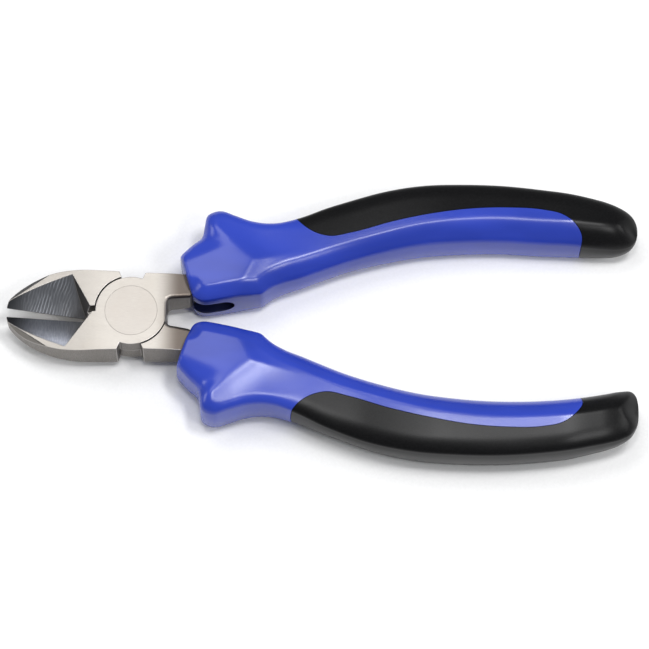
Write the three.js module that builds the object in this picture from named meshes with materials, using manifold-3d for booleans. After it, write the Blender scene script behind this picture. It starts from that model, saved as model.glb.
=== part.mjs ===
// Diagonal cutting nippers with two-material grips, 160 mm long. All lengths are millimetres.
//
// +X runs from the jaws to the handles, +Z along the pivot axis. Z = 0 is the back face of the
// joint and Z = JOINT_THICKNESS its front face. The front lever carries the lower jaw (-Y) and the
// upper handle (+Y); the rear lever carries the upper jaw and the lower handle. The tool stands
// slightly open, each cutting edge REST_HALF_OPENING away from the plane Y = 0.
import * as THREE from "three";
import { mergeVertices } from "three/addons/utils/BufferGeometryUtils.js";
import Module from "manifold-3d";

const wasm = await Module();
wasm.setup();

// Joint
const JOINT_THICKNESS = 10;
const LAP_GAP = 0.3;
const DISC_RADIUS = 9;
const DISC_CLEARANCE = 0.35;
const ROUND_SEGMENTS = 48;
const REST_HALF_OPENING = THREE.MathUtils.degToRad(2.05);

// Rivet
const RIVET_SHANK_RADIUS = 4;
const RIVET_HEAD_RADIUS = 6.6;
const RIVET_HEAD_RIM = 0.6;
const RIVET_HEAD_DEPTH = 2.9;
const RIVET_CLEARANCE = 0.15;

// Jaws
const JAW_TIP_X = -31.6;
const TAPER_START_X = -8.5;
const FRONT_TAPER = 0.125;
const BACK_TAPER = 0.14;
const EDGE_TIP_Z = 6.2;
const EDGE_ROOT_X = -12;
const EDGE_ROOT_Z = 1.4;
const BACK_BEVEL_ANGLE = THREE.MathUtils.degToRad(30);
const WALL_SLANT = THREE.MathUtils.degToRad(10);
const RELIEF_Y = 1.1;

// Arms and tangs
const ARM_OUTER_Y = 10.2;
const ARM_END_X = 16.6;
const THROAT_X = 9.05;
const TANG_HALF_WIDTH = 3;
const TANG_THICKNESS = 6;
const TANG_END_EXTRA = 1;

// Grips
const GRIP_THICKNESS = 17;
const GRIP_EDGE_HEIGHT = 4.2;
const GRIP_EDGE_INSET = 2.6;
const CORE_HALF_WIDTH = 5.2;
const CORE_THICKNESS = 11.6;
const FIT_GAP = 0.3;
const SEAM_HALF_GAP = 0.15;
const CURVE_STEPS = 3;

const MID_Z = JOINT_THICKNESS / 2;
const FAR = 60;

// Turns a closed geometry into a solid that can be joined and cut.
function solidOf(geometry) {
  geometry.deleteAttribute("normal");
  geometry.deleteAttribute("uv");
  const merged = mergeVertices(geometry, 1e-4);
  return new wasm.Manifold(
    new wasm.Mesh({
      numProp: 3,
      vertProperties: merged.attributes.position.array,
      triVerts: new Uint32Array(merged.index.array),
    }),
  );
}

// Turns a finished solid back into a named mesh.
function meshOf(name, solid, material) {
  const made = solid.getMesh();
  const geometry = new THREE.BufferGeometry();
  geometry.setAttribute("position", new THREE.BufferAttribute(made.vertProperties, 3));
  geometry.setIndex(new THREE.BufferAttribute(made.triVerts, 1));
  geometry.computeVertexNormals();
  const mesh = new THREE.Mesh(geometry, material);
  mesh.name = name;
  return mesh;
}

const vectors = (points) => points.map(([x, y]) => new THREE.Vector2(x, y));

// A plan outline raised from one height to another.
function prism(shape, zLow, zHigh) {
  const options = { depth: zHigh - zLow, bevelEnabled: false, curveSegments: CURVE_STEPS };
  return solidOf(new THREE.ExtrudeGeometry(shape, options).translate(0, 0, zLow));
}

const polygonPrism = (points, zLow, zHigh) => prism(new THREE.Shape(vectors(points)), zLow, zHigh);

function cylinder(radius, zLow, zHigh) {
  const geometry = new THREE.CylinderGeometry(radius, radius, zHigh - zLow, ROUND_SEGMENTS);
  return solidOf(geometry.rotateX(Math.PI / 2).translate(0, 0, (zLow + zHigh) / 2));
}

// Everything within reach on the side of a plane that its normal points to.
function halfSpace(point, normal) {
  const up = new THREE.Vector3(0, 0, 1);
  const turn = new THREE.Quaternion().setFromUnitVectors(up, normal.clone().normalize());
  const block = new THREE.BoxGeometry(2 * FAR, 2 * FAR, FAR).translate(0, 0, FAR / 2);
  return solidOf(block.applyQuaternion(turn).translate(point.x, point.y, point.z));
}

const stepsOf = (points) => CURVE_STEPS * (points.length - 1);

// A band of even width that follows a plan curve.
function ribbon(points, halfWidth, zLow, zHigh) {
  const curve = new THREE.SplineCurve(vectors(points));
  const steps = stepsOf(points);
  const left = [];
  const right = [];
  for (let i = 0; i <= steps; i += 1) {
    const at = curve.getPoint(i / steps);
    const along = curve.getTangent(i / steps);
    const across = new THREE.Vector2(-along.y, along.x).multiplyScalar(halfWidth);
    left.push(at.clone().add(across));
    right.unshift(at.clone().sub(across));
  }
  return prism(new THREE.Shape([...left, ...right]), zLow, zHigh);
}

// Levers -----------------------------------------------------------------------------------------

// Plan of one jaw, drawn for the front lever: straight cutting edge, bowed outer side, square end.
const JAW_OUTER = [
  [JAW_TIP_X + 0.1, -2.2],
  [-30, -4.3],
  [-28, -6.2],
  [-25.6, -7.8],
  [-23, -9],
  [-18, -10.4],
  [-14, -10.8],
  [-3.3, -10.5],
  [-2.6, -8.6],
];

// Centre line of the tang inside the upper grip.
const TANG_LINE = [
  [15, 8],
  [30, 13.8],
  [43, 18.8],
  [63, 25.8],
  [83, 28.6],
  [103, 28.2],
];

// The rivet's profile as [radius, height], grown by a clearance for the hole that takes it.
function rivetProfile(clearance) {
  const head = RIVET_HEAD_RADIUS + clearance;
  const shank = RIVET_SHANK_RADIUS + clearance;
  const below = clearance > 0 ? -1 : 0;
  const half = [
    [0, below],
    [head, below],
    [head, RIVET_HEAD_RIM + clearance],
    [shank, RIVET_HEAD_DEPTH + clearance],
  ];
  const mirrored = half.map(([radius, z]) => [radius, JOINT_THICKNESS - z]).reverse();
  const profile = vectors([...half, ...mirrored]);
  return solidOf(new THREE.LatheGeometry(profile, ROUND_SEGMENTS).rotateX(Math.PI / 2));
}

// Front lever before its jaw is ground: half disc in front, jaw and arm at full thickness.
function leverBlank() {
  const ownHalf = MID_Z + LAP_GAP / 2;
  const otherHalf = cylinder(DISC_RADIUS + DISC_CLEARANCE, -1, ownHalf);
  const edgeDrop = JAW_TIP_X * Math.tan(REST_HALF_OPENING);
  const jaw = polygonPrism([[0, 0], [JAW_TIP_X, edgeDrop], ...JAW_OUTER], 0, JOINT_THICKNESS);
  const relief = polygonPrism(
    [[EDGE_ROOT_X, -RELIEF_Y], [0, -RELIEF_Y], [0, RELIEF_Y], [EDGE_ROOT_X, RELIEF_Y]],
    -1,
    ownHalf,
  );
  const arm = polygonPrism(
    [
      [0, 0],
      [THROAT_X, 0],
      [THROAT_X, 3],
      [9.8, 3.6],
      [14.6, 4.2],
      [ARM_END_X, 5.9],
      [ARM_END_X, ARM_OUTER_Y],
      [3.3, ARM_OUTER_Y],
      [2.7, 8.6],
    ],
    0,
    JOINT_THICKNESS,
  );
  const tang = ribbon(
    TANG_LINE,
    TANG_HALF_WIDTH,
    MID_Z - TANG_THICKNESS / 2,
    MID_Z + TANG_THICKNESS / 2,
  );
  return jaw
    .subtract(relief)
    .add(arm)
    .subtract(otherHalf)
    .add(cylinder(DISC_RADIUS, ownHalf, JOINT_THICKNESS))
    .add(tang);
}

// Grinds the tapers, the deep front facet, the back bevel and the tip chamfer of one jaw.
// side is +1 for the upper jaw and -1 for the lower one; the facet ends in a steep wall that runs
// from its apex on the outer side to wallRoot near the pivot.
function groundJaw(blank, side, apexX, wallRoot) {
  const frontZ = (x) => JOINT_THICKNESS + (x - TAPER_START_X) * FRONT_TAPER;
  const slope = Math.tan(REST_HALF_OPENING);
  const edgeTip = new THREE.Vector3(JAW_TIP_X, -side * JAW_TIP_X * slope, EDGE_TIP_Z);
  const edgeRoot = new THREE.Vector3(EDGE_ROOT_X, -side * EDGE_ROOT_X * slope, EDGE_ROOT_Z);
  const apex = new THREE.Vector3(apexX, side * 9.7, frontZ(apexX));
  const edge = edgeRoot.clone().sub(edgeTip);

  const facetNormal = new THREE.Vector3().crossVectors(edge, apex.clone().sub(edgeTip));
  facetNormal.multiplyScalar(Math.sign(facetNormal.z));

  const wallLine = wallRoot.clone().sub(apex);
  const wallNormal = new THREE.Vector3(-Math.abs(wallLine.y), -side * Math.abs(wallLine.x), 0);
  wallNormal.normalize().multiplyScalar(Math.cos(WALL_SLANT));
  wallNormal.z = Math.sin(WALL_SLANT);

  const bevelFall = new THREE.Vector3(0, side * Math.sin(BACK_BEVEL_ANGLE), -Math.cos(BACK_BEVEL_ANGLE));
  const bevelNormal = new THREE.Vector3().crossVectors(edge, bevelFall);
  bevelNormal.multiplyScalar(-side * Math.sign(bevelNormal.y));

  const jawSide = halfSpace(new THREE.Vector3(EDGE_ROOT_X, 0, 0), new THREE.Vector3(-1, 0, 0));
  const start = new THREE.Vector3(TAPER_START_X, 0, JOINT_THICKNESS);
  const backStart = new THREE.Vector3(TAPER_START_X, 0, 0);
  const facet = halfSpace(edgeTip, facetNormal).intersect(halfSpace(apex, wallNormal));
  const tipChamfer = halfSpace(
    new THREE.Vector3(-24, side * 8, frontZ(-24)),
    new THREE.Vector3(-0.75, side * 0.65, 1),
  );
  return blank
    .subtract(halfSpace(start, new THREE.Vector3(-FRONT_TAPER, 0, 1)))
    .subtract(halfSpace(backStart, new THREE.Vector3(-BACK_TAPER, 0, -1)))
    .subtract(facet)
    .subtract(halfSpace(edgeTip, bevelNormal).intersect(jawSide))
    .subtract(tipChamfer);
}

// Turns a piece of the front lever half a turn about the X axis of the joint, which makes it a
// piece of the rear lever.
function turnedOver(solid) {
  return solid.rotate([180, 0, 0]).translate([0, 0, JOINT_THICKNESS]);
}

// Grips ------------------------------------------------------------------------------------------

// Plan of the upper grip: slanted mouth, thumb guard with its horn, waist, bowed handle, round end.
function gripShape() {
  const shape = new THREE.Shape(vectors([[14.8, 5.6], [16.4, 2.9], [19, 2.4], [33, 5.4]]));
  shape.splineThru(vectors([[42.8, 10.8], [63, 17.7], [83.2, 20.9], [103.5, 20.9], [119, 19.8]]));
  shape.splineThru(vectors([[125.6, 21], [128.4, 24.4], [125.6, 29.2], [118.7, 32.8]]));
  shape.splineThru(vectors([[98.4, 35.9], [85, 36.6], [63, 34], [47.8, 28.8], [37.7, 25.2]]));
  const guard = [[31, 25], [25.5, 26.6], [21, 28], [17.9, 26.4], [17.6, 20.6], [12, 15]];
  for (const [x, y] of guard) shape.lineTo(x, y);
  return shape;
}

// The line where the soft skin meets the hard shell, on both faces of the grip.
const SEAM_LINE = [
  [38.5, 30],
  [42.5, 24],
  [49.5, 20.9],
  [65.5, 25],
  [85.8, 28.9],
  [104, 29],
  [111.6, 25.6],
  [113.4, 16],
];

function gripForm() {
  const options = {
    depth: GRIP_THICKNESS - 2 * GRIP_EDGE_HEIGHT,
    bevelThickness: GRIP_EDGE_HEIGHT,
    bevelSize: GRIP_EDGE_INSET,
    bevelOffset: -GRIP_EDGE_INSET,
    bevelSegments: 2,
    curveSegments: CURVE_STEPS,
  };
  const geometry = new THREE.ExtrudeGeometry(gripShape(), options);
  return solidOf(geometry.translate(0, 0, MID_Z - options.depth / 2));
}

// Everything outward of the seam line: the soft skin's share of the grip.
function softSide() {
  const seam = new THREE.SplineCurve(vectors(SEAM_LINE)).getPoints(stepsOf(SEAM_LINE));
  const beyond = vectors([[140, 16], [140, 50], [38.5, 50]]);
  return prism(new THREE.Shape([...seam, ...beyond]), -FAR, FAR);
}

// The hard core that runs on under the soft skin, grown by a gap.
function core(gap) {
  const line = [[39, 17.2], [50, 21.6], [65, 26.4], [86, 28.8], [107 + gap, 27.9]];
  const height = CORE_THICKNESS / 2 + gap;
  return ribbon(line, CORE_HALF_WIDTH + gap, MID_Z - height, MID_Z + height);
}

// The socket for the arm, the channel for the tang and the slot in the guard's inner wall.
function leverRoom() {
  const socket = polygonPrism(
    [[8, 3.2], [14.5, 3.85], [17, 5.6], [17, ARM_OUTER_Y + FIT_GAP], [8, ARM_OUTER_Y + FIT_GAP]],
    -FIT_GAP,
    JOINT_THICKNESS + FIT_GAP,
  );
  const height = TANG_THICKNESS / 2 + FIT_GAP;
  const [endX, endY] = TANG_LINE.at(-1);
  const channelLine = [...TANG_LINE.slice(0, -1), [endX + TANG_END_EXTRA, endY]];
  const channel = ribbon(channelLine, TANG_HALF_WIDTH + FIT_GAP, MID_Z - height, MID_Z + height);
  const slot = polygonPrism([[18, 0], [26, 0], [26, 9.5], [18, 9.5]], MID_Z - 3, MID_Z + 3);
  return socket.add(channel).add(slot);
}

function gripPieces() {
  const halves = gripForm().subtract(ribbon(SEAM_LINE, SEAM_HALF_GAP, -FAR, FAR));
  const soft = softSide();
  const shell = halves.subtract(soft).add(core(0)).subtract(leverRoom());
  const skin = halves.intersect(soft).subtract(core(FIT_GAP));
  return { shell, skin };
}

// Assembly ---------------------------------------------------------------------------------------

const steel = new THREE.MeshStandardMaterial({ color: 0xcfc7c0, metalness: 1, roughness: 0.38 });
const rivetSteel = new THREE.MeshStandardMaterial({ color: 0xd2cbc6, metalness: 1, roughness: 0.42 });
const hardBlue = new THREE.MeshStandardMaterial({ color: 0x3d51b8, metalness: 0, roughness: 0.4 });
const softBlack = new THREE.MeshStandardMaterial({ color: 0x17181b, metalness: 0, roughness: 0.6 });

const blank = leverBlank().subtract(rivetProfile(RIVET_CLEARANCE));
const lowerWallRoot = new THREE.Vector3(-9.5, 0.35, JOINT_THICKNESS);
const upperWallRoot = new THREE.Vector3(-10.6, 1.3, JOINT_THICKNESS);
const frontLever = groundJaw(blank, -1, -16.4, lowerWallRoot);
const rearLever = groundJaw(turnedOver(blank), 1, -15.2, upperWallRoot);
const grip = gripPieces();

const group = new THREE.Group();
group.add(
  meshOf("front_lever", frontLever, steel),
  meshOf("rear_lever", rearLever, steel),
  meshOf("pivot_rivet", rivetProfile(0), rivetSteel),
  meshOf("front_grip_shell", grip.shell, hardBlue),
  meshOf("front_grip_overmold", grip.skin, softBlack),
  meshOf("rear_grip_shell", turnedOver(grip.shell), hardBlue),
  meshOf("rear_grip_overmold", turnedOver(grip.skin), softBlack),
);

export default group;
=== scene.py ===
"""Looks of the diagonal cutting nippers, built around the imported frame.

Shapes are written in millimetres in the frame's own axes: X from the pivot to the handles, Y towards
the front lever's handle, Z along the pivot. Heights, the rivet and the ends come from the frame's
boxes. A mesh is turned to metres when it is made; textures, lights and the camera are in metres.
"""

import math

import bmesh
import bpy
import numpy as np
from mathutils import Matrix, Vector
from mathutils.bvhtree import BVHTree


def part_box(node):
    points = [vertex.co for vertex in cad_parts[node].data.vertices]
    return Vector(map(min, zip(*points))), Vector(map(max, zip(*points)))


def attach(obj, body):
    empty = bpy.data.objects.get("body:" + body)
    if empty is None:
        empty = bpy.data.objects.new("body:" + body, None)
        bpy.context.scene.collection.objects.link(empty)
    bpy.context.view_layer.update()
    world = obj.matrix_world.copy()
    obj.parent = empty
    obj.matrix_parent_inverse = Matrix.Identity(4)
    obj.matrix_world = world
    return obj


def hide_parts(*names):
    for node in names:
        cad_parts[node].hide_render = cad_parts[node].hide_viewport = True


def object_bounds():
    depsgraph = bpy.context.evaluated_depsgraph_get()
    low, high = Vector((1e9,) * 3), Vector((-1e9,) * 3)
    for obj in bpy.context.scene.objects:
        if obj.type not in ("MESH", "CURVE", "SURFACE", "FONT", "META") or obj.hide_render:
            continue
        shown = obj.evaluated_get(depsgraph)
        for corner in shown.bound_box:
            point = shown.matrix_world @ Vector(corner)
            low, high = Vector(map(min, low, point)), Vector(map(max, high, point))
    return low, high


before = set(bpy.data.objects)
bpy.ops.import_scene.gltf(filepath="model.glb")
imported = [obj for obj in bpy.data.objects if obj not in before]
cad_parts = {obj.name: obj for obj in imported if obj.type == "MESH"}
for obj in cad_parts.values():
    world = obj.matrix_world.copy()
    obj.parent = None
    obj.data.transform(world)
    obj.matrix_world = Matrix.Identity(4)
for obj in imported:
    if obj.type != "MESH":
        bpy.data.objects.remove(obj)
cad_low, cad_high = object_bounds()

MM = 0.001

# Sizes taken from the frame, in millimetres ------------------------------------------------------


def box_mm(node):
    low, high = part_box(node)
    return [c / MM for c in low], [c / MM for c in high]


rivet_low, rivet_high = box_mm("pivot_rivet")
lever_low, lever_high = box_mm("front_lever")
shell_low, shell_high = box_mm("front_grip_shell")
skin_high = box_mm("front_grip_overmold")[1]

JOINT_THICKNESS = rivet_high[2] - rivet_low[2]
MID_Z = (rivet_low[2] + rivet_high[2]) / 2
RIVET_RADIUS = rivet_high[0]
TIP_X = lever_low[0]
TANG_END_X = lever_high[0]
GRIP_HALF_THICKNESS = (shell_high[2] - shell_low[2]) / 2
GRIP_END_X = skin_high[0]

# Helpers -----------------------------------------------------------------------------------------


def spline(points, count):
    """Points spaced evenly by length on a smooth curve through the given points, of any dimension."""
    p = np.array(points, float)
    gaps = np.linalg.norm(np.diff(p, axis=0), axis=1)
    at = np.concatenate([[0], np.cumsum(gaps)])
    slopes = np.gradient(p, at, axis=0, edge_order=1)
    fine = np.linspace(0, at[-1], 40 * count)
    k = np.clip(np.searchsorted(at, fine, side="right") - 1, 0, len(at) - 2)
    h = (at[k + 1] - at[k])[:, None]
    u = ((fine - at[k])[:, None]) / h
    curve = (
        (2 * u**3 - 3 * u**2 + 1) * p[k]
        + (u**3 - 2 * u**2 + u) * h * slopes[k]
        + (3 * u**2 - 2 * u**3) * p[k + 1]
        + (u**3 - u**2) * h * slopes[k + 1]
    )
    length = np.concatenate([[0], np.cumsum(np.linalg.norm(np.diff(curve, axis=0), axis=1))])
    even = np.linspace(0, length[-1], count)
    return np.stack([np.interp(even, length, curve[:, i]) for i in range(curve.shape[1])], axis=1)


def smooth(value, low, high):
    """0 below low, 1 above high, and a smooth rise between them."""
    u = np.clip((np.asarray(value, float) - low) / (high - low), 0, 1)
    return u * u * (3 - 2 * u)


def along(x, *pairs):
    """A value that follows x through the given (x, value) pairs, without corners."""
    xs, values = zip(*pairs)
    total = np.full(np.shape(x), float(values[0]))
    for i in range(1, len(xs)):
        total = total + (values[i] - values[i - 1]) * smooth(x, xs[i - 1], xs[i])
    return total


def distance_to(line, x, y):
    """Distance from each plan point to a plan polyline."""
    best = np.full(np.shape(x), 1e9)
    for (ax, ay), (bx, by) in zip(line[:-1], line[1:]):
        dx, dy = bx - ax, by - ay
        size = dx * dx + dy * dy
        if size < 1e-12:
            continue
        u = np.clip(((x - ax) * dx + (y - ay) * dy) / size, 0, 1)
        best = np.minimum(best, np.hypot(x - ax - u * dx, y - ay - u * dy))
    return best


def new_object(name, vertices, faces):
    """A mesh object from millimetre vertices."""
    mesh = bpy.data.meshes.new(name)
    mesh.from_pydata([tuple(c * MM for c in v) for v in vertices], [], faces)
    mesh.validate()
    made = bpy.data.objects.new(name, mesh)
    bpy.context.scene.collection.objects.link(made)
    return made


def prism(name, outline, z_low, z_high):
    """A plan outline raised from one height to another."""
    outline = [tuple(map(float, p)) for p in outline]
    area = sum(a[0] * b[1] - b[0] * a[1] for a, b in zip(outline, outline[1:] + outline[:1]))
    if area < 0:
        outline.reverse()
    n = len(outline)
    vertices = [(x, y, z_low) for x, y in outline] + [(x, y, z_high) for x, y in outline]
    faces = [list(range(n))[::-1], list(range(n, 2 * n))]
    faces += [[i, (i + 1) % n, n + (i + 1) % n, n + i] for i in range(n)]
    return new_object(name, vertices, faces)


def half_space(point, normal, reach=90):
    """A block whose one face passes through the point, on the side the normal points to."""
    turn = Vector((0, 0, 1)).rotation_difference(Vector(normal)).to_matrix()
    corners = [
        Vector(point) + turn @ Vector((sx * reach, sy * reach, z))
        for z in (0, reach)
        for sx, sy in ((-1, -1), (1, -1), (1, 1), (-1, 1))
    ]
    faces = [[3, 2, 1, 0], [4, 5, 6, 7]] + [[i, (i + 1) % 4, 4 + (i + 1) % 4, 4 + i] for i in range(4)]
    return new_object("half_space", corners, faces)


def rod(start, end, radius, segments):
    """A cylinder between two points."""
    start, end = Vector(start), Vector(end)
    turn = Vector((0, 0, 1)).rotation_difference(end - start).to_matrix()
    ring = [
        turn @ Vector((radius * math.cos(a), radius * math.sin(a), 0))
        for a in (2 * math.pi * i / segments for i in range(segments))
    ]
    vertices = [start + p for p in ring] + [end + p for p in ring]
    n = segments
    faces = [list(range(n))[::-1], list(range(n, 2 * n))]
    faces += [[i, (i + 1) % n, n + (i + 1) % n, n + i] for i in range(n)]
    return new_object("rod", vertices, faces)


def lathe(name, profile, segments):
    """A closed profile of (radius, z) that starts and ends on the Z axis, turned about it."""
    inner = profile[1:-1]
    vertices = [(0, 0, profile[0][1]), (0, 0, profile[-1][1])]
    for i in range(segments):
        a = 2 * math.pi * i / segments
        vertices += [(r * math.cos(a), r * math.sin(a), z) for r, z in inner]
    m = len(inner)
    faces = []
    for i in range(segments):
        a, b = 2 + i * m, 2 + ((i + 1) % segments) * m
        faces.append([0, b, a])
        faces.append([1, a + m - 1, b + m - 1])
        faces += [[a + j, b + j, b + j + 1, a + j + 1] for j in range(m - 1)]
    return new_object(name, vertices, faces)


def bake(obj):
    """Applies an object's modifiers to its mesh."""
    graph = bpy.context.evaluated_depsgraph_get()
    mesh = bpy.data.meshes.new_from_object(obj.evaluated_get(graph))
    old = obj.data
    obj.modifiers.clear()
    obj.data = mesh
    bpy.data.meshes.remove(old)


def cut(obj, tool, operation="DIFFERENCE"):
    """Joins or cuts an object with another one, which is used up."""
    modifier = obj.modifiers.new("cut", "BOOLEAN")
    modifier.object = tool
    modifier.operation = operation
    modifier.solver = "EXACT"
    bake(obj)
    bpy.data.objects.remove(tool)
    return obj


def copy_of(obj, name):
    made = obj.copy()
    made.data = obj.data.copy()
    made.name = name
    bpy.context.scene.collection.objects.link(made)
    return made


def transform(obj, matrix):
    """Moves the mesh itself and keeps its faces pointing out."""
    obj.data.transform(matrix)
    if matrix.determinant() < 0:
        obj.data.flip_normals()


def shade(obj, angle):
    """Smooth shading that keeps edges over the angle sharp."""
    obj.data.polygons.foreach_set("use_smooth", [True] * len(obj.data.polygons))
    obj.data.set_sharp_from_angle(angle=math.radians(angle))


# Materials ---------------------------------------------------------------------------------------


class Nodes:
    """A short way to write a node tree."""

    def __init__(self, name):
        self.material = bpy.data.materials.new(name)
        self.material.use_nodes = True
        self.tree = self.material.node_tree
        self.tree.nodes.clear()
        self.output = self.tree.nodes.new("ShaderNodeOutputMaterial")
        self.place = self.tree.nodes.new("ShaderNodeTexCoord").outputs["Object"]

    def add(self, kind, inputs=None, **settings):
        node = self.tree.nodes.new("ShaderNode" + kind)
        for key, value in settings.items():
            setattr(node, key, value)
        for key, value in (inputs or {}).items():
            socket = node.inputs[key]
            if isinstance(value, bpy.types.NodeSocket):
                self.tree.links.new(value, socket)
            else:
                socket.default_value = value
        return node

    def math(self, operation, a, b=0.0, clamp=False):
        return self.add("Math", {0: a, 1: b}, operation=operation, use_clamp=clamp).outputs[0]

    def x_axis(self):
        return self.add("SeparateXYZ", {0: self.place}).outputs[0]

    def stretched(self, scale, rotation=(0, 0, 0)):
        inputs = {"Vector": self.place, "Scale": scale, "Rotation": rotation}
        return self.add("Mapping", inputs).outputs[0]

    def noise(self, vector, scale, detail=3.0, roughness=0.55):
        inputs = {"Vector": vector, "Scale": scale, "Detail": detail, "Roughness": roughness}
        return self.add("TexNoise", inputs).outputs["Fac"]

    def ramp(self, value, low, high, to_low=0.0, to_high=1.0):
        inputs = {"Value": value, 1: low, 2: high, 3: to_low, 4: to_high}
        return self.add("MapRange", inputs, interpolation_type="SMOOTHSTEP").outputs[0]

    def mix(self, factor, a, b):
        node = self.add("Mix", {0: factor}, data_type="RGBA")
        for index, value in ((6, a), (7, b)):
            if isinstance(value, bpy.types.NodeSocket):
                self.tree.links.new(value, node.inputs[index])
            else:
                node.inputs[index].default_value = value
        return node.outputs[2]

    def bump(self, height, distance):
        inputs = {"Height": height, "Distance": distance, "Strength": 1.0}
        return self.add("Bump", inputs).outputs[0]

    def finish(self, inputs):
        shader = self.add("BsdfPrincipled", inputs)
        self.tree.links.new(shader.outputs[0], self.output.inputs["Surface"])
        return self.material


def steel(name, colour, rough, grain=(0.05, 1, 1), contrast=0.06, painted_arm_shade=0.0):
    """Satin steel with a fine brushed grain, along the lever by default, and faint darker clouds; it can
    also carry painted shade that darkens the arms.
    """
    n = Nodes(name)
    brush = n.noise(n.stretched(grain), 14000, 3)
    wide = n.noise(n.stretched(tuple(0.5 * g for g in grain)), 4200, 2)
    cloud = n.noise(n.place, 90, 3)
    dark = tuple(c * (1 - contrast) for c in colour) + (1,)
    bright = tuple(min(1, c * (1 + contrast / 2)) for c in colour) + (1,)
    streaks = n.mix(n.ramp(brush, 0.3, 0.7), dark, bright)
    warm = (colour[0] * 0.9, colour[1] * 0.87, colour[2] * 0.83, 1)
    base = n.mix(n.ramp(cloud, 0.4, 0.75, 0.0, 0.5), streaks, warm)
    if painted_arm_shade:
        # Painted shade: the arms are painted darker from the joint's far side towards the grips.
        painted_shade_toward_grips = n.math("MULTIPLY", n.ramp(n.x_axis(), 0.0055, 0.0125), painted_arm_shade)
        base = n.mix(painted_shade_toward_grips, base, (0.1, 0.082, 0.07, 1))
    roughness = n.math("ADD", n.math("MULTIPLY", wide, 0.12), rough - 0.06)
    height = n.math("ADD", brush, n.math("MULTIPLY", wide, 0.7))
    return n.finish(
        {
            "Base Color": base,
            "Metallic": 1.0,
            "Roughness": roughness,
            "Normal": n.bump(height, 0.0000018),
        }
    )


# The wheel's marks are arcs about this point, this far apart, in metres.
MARKS_CENTRE = (0.062, -0.026, 0.0)
MARKS_PITCH = 0.00072


def ground_steel(name, colour, rough, marks):
    """A hollow-ground facet: dark bright steel with the wheel's arc marks across it. The marks' crests
    are painted lighter as a painted highlight, and the facet is painted darker towards the tip as painted
    shade.
    """
    n = Nodes(name)
    shifted = n.add("VectorMath", {0: n.place, 1: MARKS_CENTRE}, operation="SUBTRACT").outputs[0]
    flat = n.add("VectorMath", {0: shifted, 1: (1, 1, 0)}, operation="MULTIPLY").outputs[0]
    radius = n.add("VectorMath", {0: flat}, operation="LENGTH").outputs["Value"]
    wobble = n.math("MULTIPLY", n.noise(n.place, 190, 2), 0.0013)
    phase = n.math("MULTIPLY", n.math("ADD", radius, wobble), 2 * math.pi / MARKS_PITCH)
    ripple = n.math("SINE", phase)
    fine = n.noise(n.stretched((1, 0.06, 0.06), (0, 0, 0.5)), 7000, 2)
    patch = n.ramp(n.noise(n.place, 170, 2), 0.42, 0.6)
    # The marks fade out towards the jaw's tip and towards the facet's end wall.
    x_axis = n.x_axis()
    inside = n.math("MULTIPLY", n.ramp(x_axis, -0.0285, -0.0245), n.ramp(x_axis, -0.0145, -0.0175))
    strength = n.math("MULTIPLY", n.math("MULTIPLY", inside, n.math("ADD", patch, 0.25)), marks)
    height = n.math("ADD", n.math("MULTIPLY", ripple, strength), n.math("MULTIPLY", fine, 0.2))
    dark = tuple(c * 0.75 for c in colour) + (1,)
    # Painted highlight: the crests of the wheel's marks are painted lighter, as if they caught the light.
    light = tuple(min(1, c * 2.0) for c in colour) + (1,)
    crest = n.math("MULTIPLY", n.ramp(ripple, 0.0, 1.0), strength)
    base = n.mix(n.ramp(fine, 0.35, 0.7), dark, colour + (1,))
    # Painted shade: the facet is painted almost black towards the jaw's tip.
    painted_tip_shade = tuple(c * 0.2 for c in colour) + (1,)
    base = n.mix(n.ramp(x_axis, -0.0235, -0.0315), base, painted_tip_shade)
    base = n.mix(n.math("MULTIPLY", crest, 0.7, clamp=True), base, light)
    roughness = n.math("ADD", n.math("MULTIPLY", fine, 0.1), rough - 0.05)
    return n.finish(
        {
            "Base Color": base,
            "Metallic": 1.0,
            "Roughness": roughness,
            "Normal": n.bump(height, 0.000024),
        }
    )


def hard_plastic(name, colour):
    """Satin moulded plastic: a fine spark-eroded grain, faint flow marks and rubbed edges."""
    n = Nodes(name)
    grain = n.noise(n.place, 5200, 2)
    peel = n.noise(n.place, 900, 2)
    flow = n.noise(n.stretched((0.35, 1, 1)), 70, 3)
    edge = n.ramp(n.add("NewGeometry").outputs["Pointiness"], 0.52, 0.6)
    dark = tuple(c * 0.86 for c in colour) + (1,)
    light = tuple(c * 1.1 + 0.004 for c in colour) + (1,)
    base = n.mix(n.ramp(flow, 0.3, 0.7), dark, light)
    rubbed = tuple(c + 0.05 for c in colour) + (1,)
    base = n.mix(n.math("MULTIPLY", edge, 0.3), base, rubbed)
    roughness = n.math("ADD", n.math("MULTIPLY", grain, 0.1), 0.2)
    height = n.math("ADD", grain, n.math("MULTIPLY", peel, 1.2))
    return n.finish(
        {
            "Base Color": base,
            "Roughness": roughness,
            "IOR": 1.5,
            "Normal": n.bump(height, 0.000006),
        }
    )


def soft_plastic(name, colour):
    """Matt elastomer: a soft pebbled grain, greyer on its crests and shinier where it is held."""
    n = Nodes(name)
    pebble = n.noise(n.place, 2600, 3)
    handling = n.noise(n.place, 55, 2)
    crest = tuple(c * 1.7 + 0.002 for c in colour) + (1,)
    base = n.mix(n.ramp(pebble, 0.35, 0.7), colour + (1,), crest)
    roughness = n.math("ADD", n.math("MULTIPLY", handling, 0.12), 0.26)
    return n.finish(
        {
            "Base Color": base,
            "Roughness": roughness,
            "IOR": 1.33,
            "Specular IOR Level": 0.4,
            "Normal": n.bump(pebble, 0.000009),
        }
    )


# The levers' steel carries painted shade on its arms, darkening towards the grips.
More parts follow.
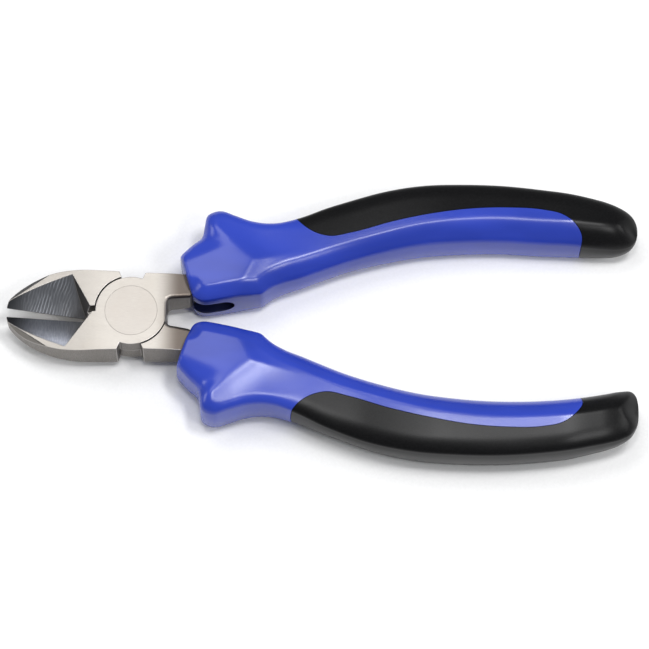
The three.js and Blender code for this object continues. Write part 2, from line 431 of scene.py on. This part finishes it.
lever_material = steel("lever_steel", (0.41, 0.385, 0.355), 0.42, painted_arm_shade=0.95)
# The flanks' steel has a vertical grain; its darker colour is painted shade on the lever's sides.
flank_shade_material = steel("lever_flank_painted_shade", (0.2, 0.185, 0.17), 0.42, (1, 1, 0.06), 0.35)
worn_material = steel("lever_worn_edge", (0.44, 0.42, 0.4), 0.38)
rivet_material = steel("rivet_steel", (0.4, 0.373, 0.345), 0.43)
# Near-black steel with a vertical grain for the upper jaw's tip chamfer: painted shade.
chamfer_shade_material = steel("lever_chamfer_painted_shade", (0.075, 0.073, 0.075), 0.4, (1, 1, 0.06), 0.3)
marked_facet_material = ground_steel("facet_marked", (0.36, 0.37, 0.4), 0.3, 1.0)
plain_facet_material = ground_steel("facet_plain", (0.36, 0.37, 0.4), 0.32, 0.0)
blue_material = hard_plastic("grip_blue", (0.02, 0.048, 0.41))
# The walls of the socket inside a grip are painted dark blue: painted shadow in the recess.
socket_shadow_material = hard_plastic("grip_socket_painted_shadow", (0.008, 0.012, 0.06))
black_material = soft_plastic("grip_black", (0.0022, 0.0022, 0.0025))

# Levers ------------------------------------------------------------------------------------------

ROUND_SEGMENTS, WHEEL_SEGMENTS = 160, 400
DISC_RADIUS = 9.0
DISC_CLEARANCE = 0.3
LAP_HALF_GAP = 0.06
HALF_OPENING = math.radians(2.05)
FRONT_TAPER, BACK_TAPER = 0.125, 0.14
EDGE_TIP_Z, EDGE_ROOT_X, EDGE_ROOT_Z = 6.2, -12.0, 1.4
WALL_SLANT = math.radians(10)
BACK_BEVEL = math.radians(30)
GRIND_RADIUS = 42.0
APEX_Y = 9.7
LOWER_APEX_X, UPPER_APEX_X = -16.4, -15.2
LOWER_WALL_ROOT, UPPER_WALL_ROOT = (-9.5, 0.35), (-10.6, 1.3)
TIP_CHAMFER_X, TIP_CHAMFER_Y, TIP_CHAMFER_NORMAL = -25, 6.9, (-0.62, 0.72, 1)
ARM_OUTER_Y, ARM_END_X = 10.2, 16.6
ARM_INNER = [(14.6, 4.2), (ARM_END_X, 5.9)]
RELIEF_Y = 1.1
TANG_HALF = 3.0
RIVET_RIM, RIVET_CONE_DEPTH, RIVET_SHANK, RIVET_CHAMFER = 0.5, 2.7, 4.0, 0.05
RIVET_GAP = 0.014
ARM_CURVE_X, ARM_CURVE_RADIUS = 7.5, 40.0
TAPER_BLEND_X, TAPER_BLEND = -4.5, 8.0
TAPER_START_X = TAPER_BLEND_X - TAPER_BLEND / 2
THROAT_ROUND, THROAT_FADED = 0.9, 0.03
# The full rounding of an edge, and the share of it that each kind of edge gets.
EDGE_ROUND = 0.24
PLAIN_SHARE, CUTTING_SHARE, RIVET_HOLE_SHARE = 0.5, 0.08, 0.06
THROAT_CORNER = [(DISC_RADIUS + 0.05, 2.4), (9.14, 2.95), (9.4, 3.32), (9.85, 3.55)]

JAW_OUTER = [
    (TIP_X, -1.5),
    (-31.1, -3.0),
    (-30.0, -4.4),
    (-28.0, -6.2),
    (-25.6, -7.75),
    (-23.0, -8.95),
    (-18.0, -10.4),
    (-14.0, -10.8),
    (-8.0, -10.65),
    (-3.3, -10.45),
]
TANG_LINE = [(15, 8), (30, 13.8), (43, 18.8), (63, 25.8), (83, 28.6), (TANG_END_X, 28.2)]


def ribbon(line, half_width, count):
    """The plan outline of a band of even width that follows a curve."""
    middle = spline(line, count)
    direction = np.gradient(middle, axis=0)
    direction /= np.linalg.norm(direction, axis=1)[:, None]
    across = np.stack([-direction[:, 1], direction[:, 0]], axis=1) * half_width
    return np.concatenate([middle + across, (middle - across)[::-1]])


def rivet_profile(gap, open_ends):
    """Countersunk rivet: a straight shank between two cone heads with a short cylindrical rim.
    With open ends it runs past both of the joint's faces, to cut the rivet's hole."""
    radius = RIVET_RADIUS + gap
    if open_ends:
        low = [(0, -1), (radius, -1)]
    else:
        low = [(0, 0), (radius - RIVET_CHAMFER, 0), (radius, RIVET_CHAMFER)]
    low += [(radius, RIVET_RIM + gap), (RIVET_SHANK + gap, RIVET_CONE_DEPTH + gap)]
    high = [(r, JOINT_THICKNESS - z) for r, z in reversed(low)]
    return [(r, z + rivet_low[2]) for r, z in low + high]


def face_drop(x, taper):
    """How far a lever's face lies below the joint's: jaws taper, arms curve down to the grips."""
    if x > ARM_CURVE_X:
        return (x - ARM_CURVE_X) ** 2 / (2 * ARM_CURVE_RADIUS)
    reach = max(TAPER_BLEND_X - x, 0)
    if reach < TAPER_BLEND:
        return taper * reach**2 / (2 * TAPER_BLEND)
    return taper * (reach - TAPER_BLEND / 2)


def side_profile():
    """The side view of both levers as one block."""
    xs = [TIP_X - 1, *np.linspace(-12.5, TAPER_BLEND_X, 9), *np.linspace(ARM_CURVE_X, 18, 9)]
    front = [(x, rivet_high[2] - face_drop(x, FRONT_TAPER)) for x in xs]
    back = [(x, rivet_low[2] + face_drop(x, BACK_TAPER)) for x in xs]
    block = prism("side_profile", front + back[::-1], -15, 15)
    transform(block, Matrix.Rotation(math.pi / 2, 4, "X"))
    return block


def throat_fillet():
    """What to take off the rim of the throat: a quarter round that fades out along the disc."""
    turns = np.radians([-30, -22, -14, -7])
    arc = [(DISC_RADIUS * math.cos(a), DISC_RADIUS * math.sin(a)) for a in turns]
    wall = [(THROAT_CORNER[0][0], 0.4), (THROAT_CORNER[0][0], 1.4)] + THROAT_CORNER
    path = spline(arc + wall + [(11.5, 3.77), (13.0, 3.98), ARM_INNER[0], (17.5, 5.2)], 60)
    travel = np.gradient(path, axis=0)
    travel /= np.linalg.norm(travel, axis=1)[:, None]
    rings = []
    for (x, y), (dx, dy) in zip(path, travel):
        radius = THROAT_FADED + (THROAT_ROUND - THROAT_FADED) * float(smooth(y, -4.4, 0.6))
        top = rivet_high[2] - face_drop(x, 0)
        section = [(-0.4, top - radius)]
        for a in np.linspace(0, math.pi / 2, 8):
            section.append((radius * (1 - math.cos(a)), top - radius + radius * math.sin(a)))
        section += [(radius, top + 2), (-0.4, top + 2)]
        rings.append([(x - dy * n, y + dx * n, z) for n, z in section])
    size = len(rings[0])
    faces = [
        [i * size + j, i * size + (j + 1) % size, (i + 1) * size + (j + 1) % size, (i + 1) * size + j]
        for i in range(len(rings) - 1)
        for j in range(size)
    ]
    last = (len(rings) - 1) * size
    faces += [list(range(size))[::-1], list(range(last, last + size))]
    return new_object("throat", [p for ring in rings for p in ring], faces)


def outward(obj):
    """Turns a closed mesh's faces to point outwards."""
    mesh = bmesh.new()
    mesh.from_mesh(obj.data)
    bmesh.ops.recalc_face_normals(mesh, faces=mesh.faces)
    mesh.to_mesh(obj.data)
    mesh.free()
    return obj


def lever_blank():
    """Front lever before its jaw is ground: half disc in front, jaw and arm at full thickness."""
    own = MID_Z + LAP_HALF_GAP
    top = rivet_high[2]
    bottom = rivet_low[2]
    slope = math.tan(HALF_OPENING)
    jaw_outline = [(0, 0), (TIP_X, TIP_X * slope)] + [tuple(p) for p in spline(JAW_OUTER, 40)]
    blank = prism("lever", jaw_outline + [(-2.5, -8.4)], bottom, top)
    relief = [(EDGE_ROOT_X, -RELIEF_Y), (0, -RELIEF_Y), (0, RELIEF_Y), (EDGE_ROOT_X, RELIEF_Y)]
    cut(blank, prism("relief", relief, bottom - 1, own))
    arm = [(0, 0), (THROAT_CORNER[0][0], 0)] + THROAT_CORNER + ARM_INNER
    arm += [(ARM_END_X, ARM_OUTER_Y), (3.35, ARM_OUTER_Y), (2.55, 8.4)]
    cut(blank, prism("arm", arm, bottom, top), "UNION")
    other = rod((0, 0, bottom - 1), (0, 0, own), DISC_RADIUS + DISC_CLEARANCE, ROUND_SEGMENTS)
    cut(blank, other)
    cut(blank, rod((0, 0, own), (0, 0, top), DISC_RADIUS, ROUND_SEGMENTS), "UNION")
    return blank


def add_tang_and_hole(blank):
    tang = prism("tang", ribbon(TANG_LINE, TANG_HALF, 40), MID_Z - TANG_HALF, MID_Z + TANG_HALF)
    cut(blank, tang, "UNION")
    cut(blank, lathe("hole", rivet_profile(RIVET_GAP, True), ROUND_SEGMENTS))


def grind(blank, side, apex_x, wall_root):
    """Grinds one jaw: tip chamfer, hollow front facet with its end wall, and bevel behind the edge.
    side is +1 for the upper jaw and -1 for the lower one."""
    top = rivet_high[2]
    slope = math.tan(HALF_OPENING)

    def front_z(x):
        return top + (x - TAPER_START_X) * FRONT_TAPER

    edge_tip = Vector((TIP_X, -side * TIP_X * slope, EDGE_TIP_Z))
    edge_root = Vector((EDGE_ROOT_X, -side * EDGE_ROOT_X * slope, EDGE_ROOT_Z))
    apex = Vector((apex_x, side * APEX_Y, front_z(apex_x)))
    wall_root = Vector((*wall_root, top))
    edge = (edge_root - edge_tip).normalized()

    chamfer_point = (TIP_CHAMFER_X, side * TIP_CHAMFER_Y, front_z(TIP_CHAMFER_X))
    nx, ny, nz = TIP_CHAMFER_NORMAL
    cut(blank, half_space(chamfer_point, (nx, side * ny, nz)))

    # The grinding wheel's axis lies along the edge, and its rim touches the edge and the apex.
    across = apex - edge_tip
    across -= edge * across.dot(edge)
    normal = across.cross(edge) * (1 if across.cross(edge).z > 0 else -1)
    normal.normalize()
    rise = math.sqrt(GRIND_RADIUS**2 - (across.length / 2) ** 2)
    centre = edge_tip + across / 2 + normal * rise
    wheel = rod(centre - edge * 40, centre + edge * 60, GRIND_RADIUS, WHEEL_SEGMENTS)
    wall_line = (wall_root - apex).normalized()
    wall_normal = Vector((-abs(wall_line.y), -side * abs(wall_line.x), 0)).normalized()
    wall_normal = wall_normal * math.cos(WALL_SLANT) + Vector((0, 0, math.sin(WALL_SLANT)))
    cut(wheel, half_space(apex, wall_normal), "INTERSECT")
    # The wheel keeps to its own jaw's side of the joint's middle line.
    cut(wheel, half_space((0, -side * 0.35, 0), (0, side, 0)), "INTERSECT")
    cut(blank, wheel)

    fall = Vector((0, side * math.sin(BACK_BEVEL), -math.cos(BACK_BEVEL)))
    bevel_normal = edge.cross(fall)
    bevel_normal *= -side if bevel_normal.y > 0 else side
    bevel = half_space(edge_tip, bevel_normal)
    cut(bevel, half_space((EDGE_ROOT_X, 0, 0), (-1, 0, 0)), "INTERSECT")
    cut(blank, bevel)
    return centre, edge


# The places of a lever's finishes and painted shades in its list of materials, after the plain steel.
FACET, WORN, FLANK, CHAMFER_SHADE = 1, 2, 3, 4


def facet_faces(mesh, centre, edge):
    """Which faces of a lever lie on the wheel's surface."""
    found = []
    for polygon in mesh.polygons:
        radial = polygon.center / MM - centre
        radial -= edge * radial.dot(edge)
        found.append(
            abs(radial.length - GRIND_RADIUS) < 0.2
            and polygon.normal.dot(-radial.normalized()) > 0.95
            and polygon.center.x / MM < -9.5
        )
    return found


def round_edges(obj, width, share_of, segments, material):
    """Rounds every edge by its own share of a width."""
    mesh = bmesh.new()
    mesh.from_mesh(obj.data)
    weight = mesh.edges.layers.float.new("bevel_weight_edge")
    for e in mesh.edges:
        if len(e.link_faces) == 2 and e.calc_face_angle(0) > math.radians(24):
            e[weight] = share_of(*(v.co / MM for v in e.verts))
    mesh.to_mesh(obj.data)
    mesh.free()
    bevel = obj.modifiers.new("edges", "BEVEL")
    bevel.limit_method = "WEIGHT"
    bevel.width = width * MM
    bevel.segments = segments
    bevel.use_clamp_overlap = False
    bevel.material = material
    bake(obj)
    left = obj.data.attributes.get("bevel_weight_edge")
    if left:
        obj.data.attributes.remove(left)


def finish_lever(obj, side, facet, facet_material):
    """Cleans the cut mesh, rounds its edges, then gives it its finishes and its painted shade."""
    centre, edge = facet
    mesh = bmesh.new()
    mesh.from_mesh(obj.data)
    bmesh.ops.remove_doubles(mesh, verts=mesh.verts, dist=0.004 * MM)
    bmesh.ops.dissolve_limit(
        mesh, angle_limit=math.radians(0.2), verts=mesh.verts, edges=mesh.edges, delimit=set()
    )
    mesh.to_mesh(obj.data)
    mesh.free()
    obj.data.materials.clear()
    for material in (lever_material, facet_material, worn_material, flank_shade_material, chamfer_shade_material):
        obj.data.materials.append(material)

    def edge_share(a, b):
        """Cutting edges and the rivet's hole stay crisp, and the throat is rounded already."""
        middle = (a + b) / 2
        slope = math.tan(HALF_OPENING)
        if middle.x < EDGE_ROOT_X + 0.5 and abs(middle.y + side * middle.x * slope) < 0.05:
            return CUTTING_SHARE
        if abs(math.hypot(middle.x, middle.y) - RIVET_RADIUS) < 0.2:
            return RIVET_HOLE_SHARE
        if middle.x > 5 and -5 < -side * middle.y < 5.5 and abs(middle.z - MID_Z) > 1.5:
            return 0
        return PLAIN_SHARE

    round_edges(obj, EDGE_ROUND, edge_share, 3, WORN)
    facets = facet_faces(obj.data, centre, edge)
    for polygon, is_facet in zip(obj.data.polygons, facets):
        if polygon.material_index == WORN:
            continue
        tip_chamfer = polygon.center.x / MM < -20 and 0.6 < polygon.normal.z < 0.85
        if is_facet:
            polygon.material_index = FACET
        # The upper jaw's tip chamfer gets the near-black steel as painted shade; the lower jaw's stays
        # plain.
        elif tip_chamfer and side > 0:
            polygon.material_index = CHAMFER_SHADE
        # Faces that stand upright get the flank steel, whose darker colour is painted shade.
        elif abs(polygon.normal.z) < 0.5:
            polygon.material_index = FLANK
    shade(obj, 30)
    normals = obj.modifiers.new("flat_faces", "WEIGHTED_NORMAL")
    normals.keep_sharp = True


twice_middle = Matrix.Translation((0, 0, 2 * MID_Z * MM))
turn_over = twice_middle @ Matrix.Rotation(math.pi, 4, "X")
flip_z = twice_middle @ Matrix.Scale(-1, 4, (0, 0, 1))
mirror_y = Matrix.Scale(-1, 4, (0, 1, 0))

front_lever = lever_blank()
front_lever.name = "front_lever_look"
rear_lever = copy_of(front_lever, "rear_lever_look")
transform(rear_lever, turn_over)
for lever, hand in ((front_lever, 1), (rear_lever, -1)):
    cut(lever, side_profile(), "INTERSECT")
    for turned in (False, True):
        fillet = throat_fillet()
        if turned:
            transform(fillet, flip_z)
        if hand < 0:
            transform(fillet, mirror_y)
        cut(lever, outward(fillet))
add_tang_and_hole(front_lever)
transform(rear_lever, turn_over)
add_tang_and_hole(rear_lever)
transform(rear_lever, turn_over)
front_facet = grind(front_lever, -1, LOWER_APEX_X, LOWER_WALL_ROOT)
rear_facet = grind(rear_lever, 1, UPPER_APEX_X, UPPER_WALL_ROOT)
finish_lever(front_lever, -1, front_facet, plain_facet_material)
finish_lever(rear_lever, 1, rear_facet, marked_facet_material)

rivet = lathe("pivot_rivet_look", rivet_profile(0.0, False), ROUND_SEGMENTS)
rivet.data.materials.append(rivet_material)
shade(rivet, 30)

# Grips -------------------------------------------------------------------------------------------

# Each rib of the upper grip runs from its inner side to its outer side: (inner x, y, outer x, y).
RIBS = [
    (15.0, 5.2, 12.0, 14.8),
    (16.2, 3.5, 14.8, 17.8),
    (18.4, 2.8, 17.2, 20.2),
    (21.0, 3.15, 17.9, 23.0),
    (23.5, 3.65, 18.6, 26.1),
    (26.0, 4.15, 21.2, 27.4),
    (28.6, 4.6, 25.5, 26.1),
    (31.2, 5.0, 29.5, 24.8),
    (33.0, 5.4, 32.0, 24.4),
    (34.4, 6.5, 34.2, 24.3),
    (35.8, 7.5, 36.4, 24.5),
    (38.5, 8.8, 39.5, 25.3),
    (42.8, 10.35, 43.5, 26.8),
    (47.8, 12.35, 48.3, 29.0),
    (52.9, 14.35, 52.9, 30.8),
    (63.0, 17.5, 62.5, 33.9),
    (73.1, 19.8, 72.8, 35.75),
    (83.2, 20.9, 83.2, 36.3),
    (93.4, 21.3, 93.6, 36.2),
    (103.5, 20.95, 104.0, 35.3),
]
# The last ribs of each grip: the lower grip's end reaches further in and has a squarer corner.
ENDS = {
    "upper": [
        (111, 20.8, 111.5, 34.4),
        (116, 20.6, 116.5, 33.5),
        (120, 20.5, 120.4, 32.6),
        (123, 20.6, 123.3, 31.6),
        (125.4, 21.2, 125.7, 30.4),
        (127.1, 22.3, 127.3, 29.0),
        (128.0, 23.7, 128.1, 27.6),
        (GRIP_END_X, 25.2, GRIP_END_X, 26.2),
    ],
    "lower": [
        (111, 20.2, 111.5, 34.2),
        (116, 19.3, 116.5, 33.0),
        (120, 18.4, 120.4, 32.0),
        (123.8, 17.5, 123.9, 30.7),
        (126.5, 17.4, 126.4, 29.0),
        (127.7, 18.6, 127.6, 27.0),
        (128.2, 20.5, 128.2, 25.2),
        (GRIP_END_X, 22.6, GRIP_END_X, 23.2),
    ],
}
# The guard's pad ends at two crest lines, which meet at this corner and have these normals.
PAD_CORNER = (30.8, 13.6)
UPPER_CREST, RIGHT_CREST = (0.639, 0.769), (0.909, -0.417)
SCOOP_DEPTH, SCOOP_SLOPE, HORN_DROP = 1.9, 0.36, 1.6
RIB_COUNT = 240
TOP_COUNT = 44
WALL_COUNT = 8
SIDE_BULGE = 0.35
NOSE_LENGTH = 10
SEAM_COUNT = 120
FRONT_LEAN = 2.0
TANG_GAP, SOCKET_DIP = 0.12, 0.6
SLOT_END_X, SLOT_HALF, SLOT_DEPTH = 23, 3, 9.5
SLOT_HOLE_X, SLOT_HOLE_RADIUS = 24.2, 1.7
SEAM_HALF_WIDTH = 0.07
SEAM_LINE = [
    (38.5, 31),
    (40.8, 26.2),
    (43.0, 23.7),
    (46.0, 21.8),
    (49.5, 20.9),
    (55.4, 22.0),
    (65.5, 25.0),
    (75.6, 27.3),
    (85.8, 28.9),
    (95.0, 29.4),
    (104.0, 29.0),
    (108.7, 27.9),
    (112.0, 25.5),
    (113.9, 22.4),
    (113.4, 19.4),
    (112.2, 16.0),
]


def edge_fall(distance, radius, drop, power):
    """How far a surface has dropped near its edge: a rounded or nearly straight chamfer."""
    u = 1 - np.clip(distance / radius, 0, 1)
    return drop * (1 - (1 - u**power) ** (1 / power))


def top_height(x, y, ribs, lean):
    """Half the grip's thickness over its plan, before the edges are rounded."""
    inner_y = np.interp(x, ribs[:, 0], ribs[:, 1])
    outer_y = np.interp(x, ribs[20:, 2], ribs[20:, 3])
    share = np.clip((y - inner_y) / np.maximum(outer_y - inner_y, 1), 0, 1)
    full = GRIP_HALF_THICKNESS
    drops = ((12, 0.7), (27, 0.1), (40, 0.1), (62, 0.5), (108, 0.5), (126, 1.8))
    height = along(x, *((at, full - drop) for at, drop in drops))
    # Past the crest lines the guard falls to the thumb's scoop.
    past_upper = UPPER_CREST[0] * (x - PAD_CORNER[0]) + UPPER_CREST[1] * (y - PAD_CORNER[1])
    past_right = RIGHT_CREST[0] * (x - PAD_CORNER[0]) + RIGHT_CREST[1] * (y - PAD_CORNER[1])
    past = np.where(past_upper > past_right, past_upper, past_right)
    ramp = (past + np.sqrt(past**2 + 0.8**2)) / 2
    scoop = SCOOP_DEPTH * (1 - np.exp(-SCOOP_SLOPE * ramp / SCOOP_DEPTH))
    scoop *= 1 - 0.9 * smooth(x, 40, 80)
    # The horn falls away on the mouth's side of the upper crest.
    horn = smooth(y - 0.45 * (x - 20), 14.5, 22) * smooth(-past_upper, -0.4, 4.2) * (x < 30)
    height = height - scoop - HORN_DROP * horn
    # The front of the handle leans down towards its outer side.
    return height - lean * smooth(x, 34, 60) * share**1.2


# How far in and how far down each rim of the grip is rounded, over its length: the inner rim is
# broad in front, the outer rim broad at the back.
FRONT_RIMS = (
    ((30, 3.4), (40, 4.5), (60, 4.7), (93, 5.6)),
    ((30, 2.4), (42, 4.2), (90, 5.6)),
    ((20, 2.2), (36, 2.6), (46, 4.4)),
    ((20, 1.9), (36, 2.1), (52, 1.6)),
)
BACK_RIMS = (
    ((30, 2.2), (60, 2.4)),
    ((30, 1.8), (60, 2.2)),
    ((20, 2.2), (36, 2.8), (46, 7.0)),
    ((20, 1.9), (36, 2.3), (52, 4.8)),
)


def face_height(x, y, ribs, rims, lean):
    """Height of the front or back face above the middle plane, with its rounded rims."""
    inner_reach, inner_drop, outer_reach, outer_drop = (along(x, *rim) for rim in rims)
    z = top_height(x, y, ribs, lean)
    crispness = along(x, (31, 1.3), (38, 1.45))
    z -= edge_fall(distance_to(ribs[:-2, :2], x, y), inner_reach, inner_drop, crispness)
    horn_side = smooth(y, 17, 22) * (1 - smooth(x, 20, 24))
    to_outer = distance_to(ribs[:-2, 2:], x, y)
    z -= edge_fall(to_outer, outer_reach + 1.4 * horn_side, outer_drop + horn_side, 2.0)
    z -= edge_fall(distance_to(np.array([ribs[0, :2], ribs[0, 2:]]), x, y), 1.0, 0.8, 2.0)
    nose = np.clip((x - (GRIP_END_X - NOSE_LENGTH)) / NOSE_LENGTH, 0, 1)
    return z * (np.sqrt(np.clip(1 - nose**2.3, 0, 1)) * 0.99 + 0.01)


def grip_mesh(hand):
    """A whole grip, drawn as the upper one, as one closed skin of ribs."""
    ribs = spline(RIBS + ENDS[hand], RIB_COUNT)
    inner_line, outer_line = ribs[:, :2], ribs[:, 2:]
    share = (1 - np.cos(np.linspace(0, math.pi, TOP_COUNT))) / 2
    x = inner_line[:, None, 0] * (1 - share) + outer_line[:, None, 0] * share
    y = inner_line[:, None, 1] * (1 - share) + outer_line[:, None, 1] * share
    front = face_height(x, y, ribs, FRONT_RIMS, FRONT_LEAN)
    back = -face_height(x, y, ribs, BACK_RIMS, 0.0)
    steps = np.linspace(0, 1, WALL_COUNT + 2)[1:-1]
    vertices = []
    for i in range(RIB_COUNT):
        width = np.linalg.norm(outer_line[i] - inner_line[i])
        out = (outer_line[i] - inner_line[i]) / max(width, 1e-6)
        bulge = 4 * SIDE_BULGE * min(1.0, width / 8) * steps * (1 - steps)
        outer_side = outer_line[i] + out * bulge[:, None]
        inner_side = inner_line[i] - out * bulge[:, None]
        vertices += zip(x[i], y[i], front[i])
        vertices += zip(*outer_side.T, front[i, -1] + (back[i, -1] - front[i, -1]) * steps)
        vertices += zip(x[i, ::-1], y[i, ::-1], back[i, ::-1])
        vertices += zip(*inner_side.T, back[i, 0] + (front[i, 0] - back[i, 0]) * steps)
    ring = 2 * TOP_COUNT + 2 * WALL_COUNT
    faces = [
        [i * ring + j, (i + 1) * ring + j, (i + 1) * ring + (j + 1) % ring, i * ring + (j + 1) % ring]
        for i in range(RIB_COUNT - 1)
        for j in range(ring)
    ]
    last = (RIB_COUNT - 1) * ring
    faces += [list(range(ring)), list(range(last, last + ring))[::-1]]
    shifted = [(vx, vy, vz + MID_Z) for vx, vy, vz in vertices]
    return new_object("grip", shifted, faces)


def lever_room():
    """The socket and channel that take a lever's arm and tang, and the slot in the inner side."""
    gap = TANG_GAP
    socket = [(8, 3.2), (14.5, 4.05), (17, 5.8), (17, ARM_OUTER_Y + gap), (8, ARM_OUTER_Y + gap)]
    dip = SOCKET_DIP - gap
    room = prism("socket", socket, rivet_low[2] + dip, rivet_high[2] - dip)
    line = TANG_LINE[:-1] + [(TANG_END_X + 1, TANG_LINE[-1][1])]
    channel = ribbon(line, TANG_HALF + gap, 40)
    half = TANG_HALF + gap
    cut(room, prism("channel", channel, MID_Z - half, MID_Z + half), "UNION")
    turns = np.linspace(-math.pi / 2, math.pi / 2, 17)
    outline = [(SLOT_END_X + SLOT_HALF * math.cos(a), MID_Z + SLOT_HALF * math.sin(a)) for a in turns]
    outline = [(15.5, MID_Z - SLOT_HALF)] + outline + [(15.5, MID_Z + SLOT_HALF)]
    slot = prism("slot", outline, -SLOT_DEPTH, 0)
    transform(slot, Matrix.Rotation(math.pi / 2, 4, "X"))
    cut(room, slot, "UNION")
    hole = rod((SLOT_HOLE_X, 0, MID_Z), (SLOT_HOLE_X, 8, MID_Z), SLOT_HOLE_RADIUS, 48)
    return cut(room, hole, "UNION")


def soft_side():
    """Everything outward of the seam between the hard shell and the soft skin."""
    line = [tuple(p) for p in spline(SEAM_LINE, SEAM_COUNT)]
    return prism("soft_side", line + [(145, 16), (145, 55), (38.5, 55)], -20, 30)


def seam_gap():
    return prism("seam", ribbon(SEAM_LINE, SEAM_HALF_WIDTH, SEAM_COUNT), -20, 30)


def socketed(piece, material):
    """Gives a grip piece its material, then paints the socket inside it darker, as painted shadow."""
    piece.data.materials.clear()
    piece.data.materials.append(material)
    piece.data.materials.append(socket_shadow_material)
    room = lever_room()
    mesh = bmesh.new()
    mesh.from_mesh(room.data)
    walls = BVHTree.FromBMesh(mesh)
    mesh.free()
    cut(piece, room)
    for polygon in piece.data.polygons:
        if walls.find_nearest(polygon.center, 0.005 * MM)[0] is not None:
            polygon.material_index = 1


def grip_pieces(hand, side):
    """The hard shell and the soft skin of one grip."""
    grip = grip_mesh(hand)
    cut(grip, seam_gap())
    shell = copy_of(grip, side + "_grip_shell_look")
    grip.name = side + "_grip_skin_look"
    cut(shell, soft_side())
    cut(grip, soft_side(), "INTERSECT")
    socketed(shell, blue_material)
    socketed(grip, black_material)
    for piece in (shell, grip):
        shade(piece, 38)
        if side == "rear":
            transform(piece, mirror_y)
    return shell, grip


front_shell, front_skin = grip_pieces("upper", "front")
rear_shell, rear_skin = grip_pieces("lower", "rear")

# What stands for what ----------------------------------------------------------------------------

for piece, node, body, slot in (
    (front_lever, "front_lever", "front_half", "lever_steel"),
    (rear_lever, "rear_lever", "rear_half", "lever_steel"),
    (rivet, "pivot_rivet", "front_half", "rivet_steel"),
    (front_shell, "front_grip_shell", "front_half", "grip_hard"),
    (rear_shell, "rear_grip_shell", "rear_half", "grip_hard"),
    (front_skin, "front_grip_overmold", "front_half", "grip_soft"),
    (rear_skin, "rear_grip_overmold", "rear_half", "grip_soft"),
):
    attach(piece, body)
    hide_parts(node)

# Floor, light and camera -------------------------------------------------------------------------


def floor_material():
    n = Nodes("floor_pale")
    paper = n.noise(n.place, 1500, 3)
    base = n.mix(n.ramp(paper, 0.3, 0.7), (0.9, 0.9, 0.9, 1), (0.93, 0.93, 0.93, 1))
    return n.finish({"Base Color": base, "Roughness": 0.85, "Normal": n.bump(paper, 0.00002)})


FLOOR_HALF = 1500
floor_z = min(v.co.z for v in front_skin.data.vertices) / MM - 0.02
corners = [(FLOOR_HALF * sx, FLOOR_HALF * sy, floor_z) for sx, sy in ((-1, -1), (1, -1), (1, 1), (-1, 1))]
floor = new_object("floor", corners, [[0, 1, 2, 3]])
floor.data.materials.append(floor_material())


def area_light(name, place, aim, size, power):
    data = bpy.data.lights.new(name, "AREA")
    data.shape = "RECTANGLE"
    data.size, data.size_y = size
    data.energy = power
    made = bpy.data.objects.new(name, data)
    made.location = place
    made.rotation_mode = "QUATERNION"
    made.rotation_quaternion = (Vector(aim) - Vector(place)).to_track_quat("-Z", "Y")
    bpy.context.scene.collection.objects.link(made)


middle = (cad_low + cad_high) / 2
area_light("overhead", (-0.17, 0.32, 0.8), (-0.01, 0, 0.01), (0.48, 0.36), 1.7)
area_light("key", middle + Vector((0.46, -0.33, 0.82)), middle, (0.2, 0.2), 1.9)
area_light("ridge", (0.04, -0.02, 1.0), (0.04, 0, 0.01), (0.13, 0.13), 1.8)
area_light("end", (0.31, 0.06, 1.0), (0.11, 0, 0.01), (0.24, 0.12), 3.4)
area_light("left", (-1.0, 0.1, 0.6), middle, (0.5, 0.5), 2.8)
area_light("right", (1.1, 0.1, 0.6), middle, (0.5, 0.5), 2.8)

world = bpy.data.worlds.new("studio")
bpy.context.scene.world = world
world.use_nodes = True
background = world.node_tree.nodes["Background"]
background.inputs["Color"].default_value = (0.9, 0.92, 0.95, 1)
background.inputs["Strength"].default_value = 0.27

ELEVATION = math.radians(70.1)
ROLL = math.radians(1.25)
DISTANCE = 1.0
VIEW_WIDTH = 0.1644
target = Vector((0.04888, -0.0009, MID_Z * MM))
camera_data = bpy.data.cameras.new("camera")
camera_data.lens = camera_data.sensor_width * DISTANCE / VIEW_WIDTH
camera_data.clip_start = 0.01
camera = bpy.data.objects.new("camera", camera_data)
away = Vector((0, -math.cos(ELEVATION), math.sin(ELEVATION)))
camera.location = target + away * DISTANCE
camera.rotation_mode = "QUATERNION"
facing = (-away).to_track_quat("-Z", "Y").to_matrix()
camera.rotation_quaternion = (facing @ Matrix.Rotation(ROLL, 3, "Z")).to_quaternion()
bpy.context.scene.collection.objects.link(camera)
bpy.context.scene.camera = camera
bpy.context.scene.view_settings.view_transform = "Standard"
